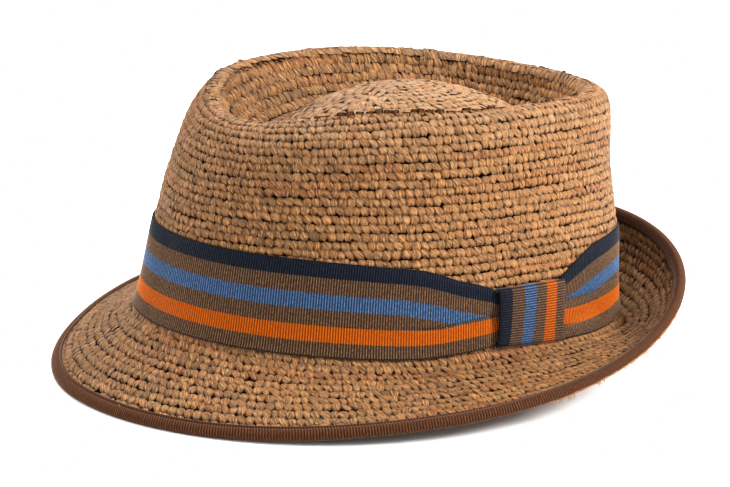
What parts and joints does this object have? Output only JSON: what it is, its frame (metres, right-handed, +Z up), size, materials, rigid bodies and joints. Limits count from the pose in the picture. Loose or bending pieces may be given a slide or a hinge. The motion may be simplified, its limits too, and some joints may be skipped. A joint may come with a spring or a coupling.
{
  "type": "raffia hat",
  "caption": "Crocheted raffia hat with a sunk crown top, a striped ribbon band with a flat knot, and a bound brim turned up at the back.",
  "frame": {"origin": "under the middle of the hat's outline, on the plane it rests on", "axes": "+Z up, -Y towards the front of the hat, +X towards the wearer's left"},
  "size_m": [0.2488, 0.2732, 0.1116],
  "materials": {
    "raffia": "crocheted raffia, satin fibres",
    "striped_ribbon": "ribbed ribbon, navy, brown, blue and orange stripes",
    "knot_ribbon": "the same ribbed ribbon, turned upright",
    "binding_ribbon": "ribbed brown ribbon, matt"
  },
  "bodies": {
    "root": {"crown": "raffia", "brim": "raffia", "ribbon_band": "striped_ribbon", "ribbon_knot": "knot_ribbon", "brim_binding": "binding_ribbon"}
  },
  "joints": []
}
